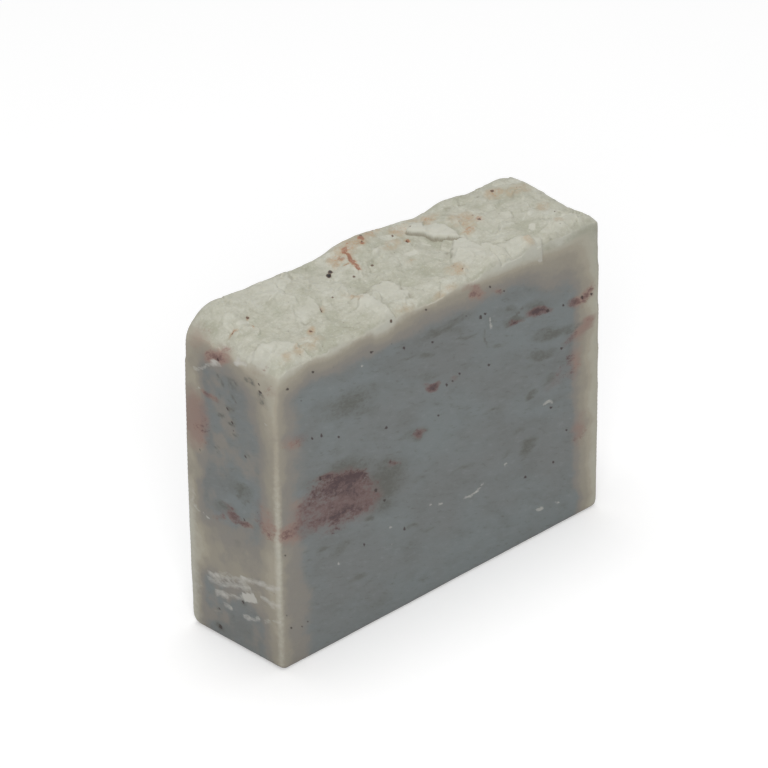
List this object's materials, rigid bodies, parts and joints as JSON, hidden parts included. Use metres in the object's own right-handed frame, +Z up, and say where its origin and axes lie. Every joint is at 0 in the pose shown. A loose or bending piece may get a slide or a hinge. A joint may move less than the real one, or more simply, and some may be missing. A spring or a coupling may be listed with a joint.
{
  "type": "bar of soap",
  "caption": "Upright rectangular bar of handmade soap, cut as a slice from a loaf, with flat cut faces and a lumpy top.",
  "frame": {"origin": "middle of the flat base that the bar stands on", "axes": "+X along the bar, +Y through the slice from its front cut face to its back cut face, +Z up from the base to the lumpy top"},
  "size_m": [0.086, 0.025, 0.0677],
  "materials": {
    "soap": "waxy grey-blue soap with a pale cream skin, reddish clay streaks and dark specks"
  },
  "bodies": {
    "root": {"soap_bar": "soap"}
  },
  "joints": []
}
